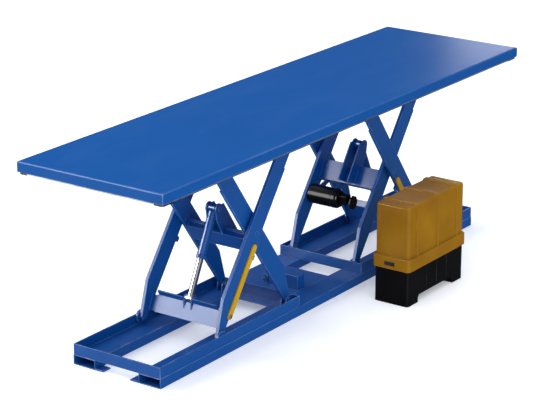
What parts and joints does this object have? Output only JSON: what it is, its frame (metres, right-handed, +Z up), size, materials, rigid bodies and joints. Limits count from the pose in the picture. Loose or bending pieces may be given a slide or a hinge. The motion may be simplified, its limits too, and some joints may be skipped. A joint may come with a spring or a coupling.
{
  "type": "scissor lift table",
  "caption": "Long low scissor lift table with two scissor packs side by side, hydraulic cylinders, roller tracks, folded deck with a trip edge, safety props and a separate hooded power unit.",
  "frame": {"origin": "centre of the base on the floor, in the middle of the four floor bolt holes", "axes": "+X along the table's length from the front pack to the rear pack, +Y across, away from the power unit, +Z up"},
  "size_m": [4.5, 1.531, 1.45],
  "materials": {
    "deck_blue": "satin paint",
    "zinc": "bright zinc",
    "chrome": "polished",
    "amber": "gloss paint",
    "black": "gloss paint",
    "yellow": "satin paint",
    "trim": "satin",
    "corner_black": "matt",
    "dark_badge": "matt",
    "motor_grey": "satin paint"
  },
  "bodies": {
    "base": {"base_rail_left": "deck_blue", "base_rail_right": "deck_blue", "track_angle_front_left": "deck_blue", "track_angle_front_right": "deck_blue", "track_angle_rear_left": "deck_blue", "track_angle_rear_right": "deck_blue", "end_plates": "deck_blue", "cross_plates": "deck_blue", "centre_plate": "deck_blue", "hose_box": "deck_blue", "floor_tabs": "deck_blue", "pivot_brackets": "deck_blue", "pivot_pins": "zinc", "tank": "black", "tank_lid": "zinc", "pump_motor": "motor_grey"},
    "inner_1": {"inner_leg_left_front": "deck_blue", "inner_leg_right_front": "deck_blue", "cross_box_front": "deck_blue", "clevis_fins_front": "deck_blue", "inner_pins_front": "zinc"},
    "outer_1": {"outer_leg_left_front": "deck_blue", "outer_leg_right_front": "deck_blue", "foot_plate_front": "deck_blue", "rod_lugs_front": "deck_blue", "outer_studs_front": "zinc"},
    "low_rollers_1": {"low_rollers_front": "zinc"},
    "top_rollers_1": {"top_rollers_front": "zinc"},
    "barrel_1": {"cylinder_barrel_front": "deck_blue", "cylinder_gland_front": "deck_blue"},
    "rod_1": {"piston_rod_front": "chrome"},
    "prop_1": {"prop_front": "yellow"},
    "inner_2": {"inner_leg_left_rear": "deck_blue", "inner_leg_right_rear": "deck_blue", "cross_box_rear": "deck_blue", "clevis_fins_rear": "deck_blue", "inner_pins_rear": "zinc", "motor_saddles": "deck_blue", "drum_motor": "black", "manifold": "black"},
    "outer_2": {"outer_leg_left_rear": "deck_blue", "outer_leg_right_rear": "deck_blue", "foot_plate_rear": "deck_blue", "rod_lugs_rear": "deck_blue", "outer_studs_rear": "zinc"},
    "low_rollers_2": {"low_rollers_rear": "zinc"},
    "top_rollers_2": {"top_rollers_rear": "zinc"},
    "barrel_2": {"cylinder_barrel_rear": "deck_blue", "cylinder_gland_rear": "deck_blue"},
    "rod_2": {"piston_rod_rear": "chrome"},
    "prop_2": {"prop_rear": "yellow"},
    "deck": {"deck": "deck_blue", "top_tracks": "deck_blue", "top_brackets": "deck_blue", "top_pins": "zinc", "deck_ribs": "deck_blue"},
    "trip_frame": {"trip_bars": "trim", "trip_corners": "corner_black"},
    "hood": {"hood": "amber", "badge": "dark_badge"}
  },
  "joints": [
    {"name": "lift", "type": "hinge", "parent": "base", "child": "inner_1", "pos_m": [-0.45, 0, 0.126], "axis": [0, 1, 0], "range_deg": [-47, 0]},
    {"name": "crossing_1", "type": "hinge", "parent": "inner_1", "child": "outer_1", "pos_m": [-0.8844, 0, 0.746], "axis": [0, 1, 0], "range_deg": [0, 94]},
    {"name": "deck_pivot", "type": "hinge", "parent": "outer_1", "child": "deck", "pos_m": [-0.45, 0, 1.366], "axis": [0, 1, 0], "range_deg": [-47, 0]},
    {"name": "lift_2", "type": "hinge", "parent": "base", "child": "inner_2", "pos_m": [0.45, 0, 0.126], "axis": [0, 1, 0], "range_deg": [0, 47]},
    {"name": "crossing_2", "type": "hinge", "parent": "inner_2", "child": "outer_2", "pos_m": [0.8844, 0, 0.746], "axis": [0, 1, 0], "range_deg": [-94, 0]},
    {"name": "barrel_pivot_1", "type": "hinge", "parent": "inner_1", "child": "barrel_1", "pos_m": [-0.924, 0, 0.8832], "axis": [0, 1, 0], "range_deg": [0, 93.55]},
    {"name": "barrel_pivot_2", "type": "hinge", "parent": "inner_2", "child": "barrel_2", "pos_m": [0.924, 0, 0.8832], "axis": [0, 1, 0], "range_deg": [-93.55, 0]},
    {"name": "piston_stroke_1", "type": "slide", "parent": "barrel_1", "child": "rod_1", "axis": [-0.4368, 0, -0.8996], "range_m": [-0.2089, 0]},
    {"name": "piston_stroke_2", "type": "slide", "parent": "barrel_2", "child": "rod_2", "axis": [0.4368, 0, -0.8996], "range_m": [-0.2089, 0]},
    {"name": "low_roller_spin_1", "type": "hinge", "parent": "outer_1", "child": "low_rollers_1", "pos_m": [-1.3188, 0, 0.126], "axis": [0, 1, 0], "continuous": true},
    {"name": "top_roller_spin_1", "type": "hinge", "parent": "inner_1", "child": "top_rollers_1", "pos_m": [-1.3188, 0, 1.366], "axis": [0, 1, 0], "continuous": true},
    {"name": "prop_swing_1", "type": "hinge", "parent": "outer_1", "child": "prop_1", "pos_m": [-1.2124, 0, 0.246], "axis": [0, 1, 0], "range_deg": [0, 48]},
    {"name": "low_roller_spin_2", "type": "hinge", "parent": "outer_2", "child": "low_rollers_2", "pos_m": [1.3188, 0, 0.126], "axis": [0, 1, 0], "continuous": true},
    {"name": "top_roller_spin_2", "type": "hinge", "parent": "inner_2", "child": "top_rollers_2", "pos_m": [1.3188, 0, 1.366], "axis": [0, 1, 0], "continuous": true},
    {"name": "prop_swing_2", "type": "hinge", "parent": "outer_2", "child": "prop_2", "pos_m": [1.2124, 0, 0.246], "axis": [0, -1, 0], "range_deg": [0, 48]},
    {"name": "trip_rise", "type": "slide", "parent": "deck", "child": "trip_frame", "axis": [0, 0, 1], "range_m": [0, 0.008]},
    {"name": "hood_lift", "type": "slide", "parent": "base", "child": "hood", "axis": [0, 0, 1], "range_m": [0, 0.4]}
  ],
  "couplings": [
    {"joint": "crossing_1", "follows": "lift", "ratio": -2},
    {"joint": "deck_pivot", "follows": "lift", "ratio": 1},
    {"joint": "lift_2", "follows": "lift", "ratio": -1},
    {"joint": "crossing_2", "follows": "lift", "ratio": 2},
    {"joint": "barrel_pivot_1", "follows": "lift", "ratio": -1.9902},
    {"joint": "barrel_pivot_2", "follows": "lift", "ratio": 1.9902},
    {"joint": "piston_stroke_1", "follows": "lift", "m_per_rad": 0.2545},
    {"joint": "piston_stroke_2", "follows": "lift", "m_per_rad": 0.2545}
  ]
}
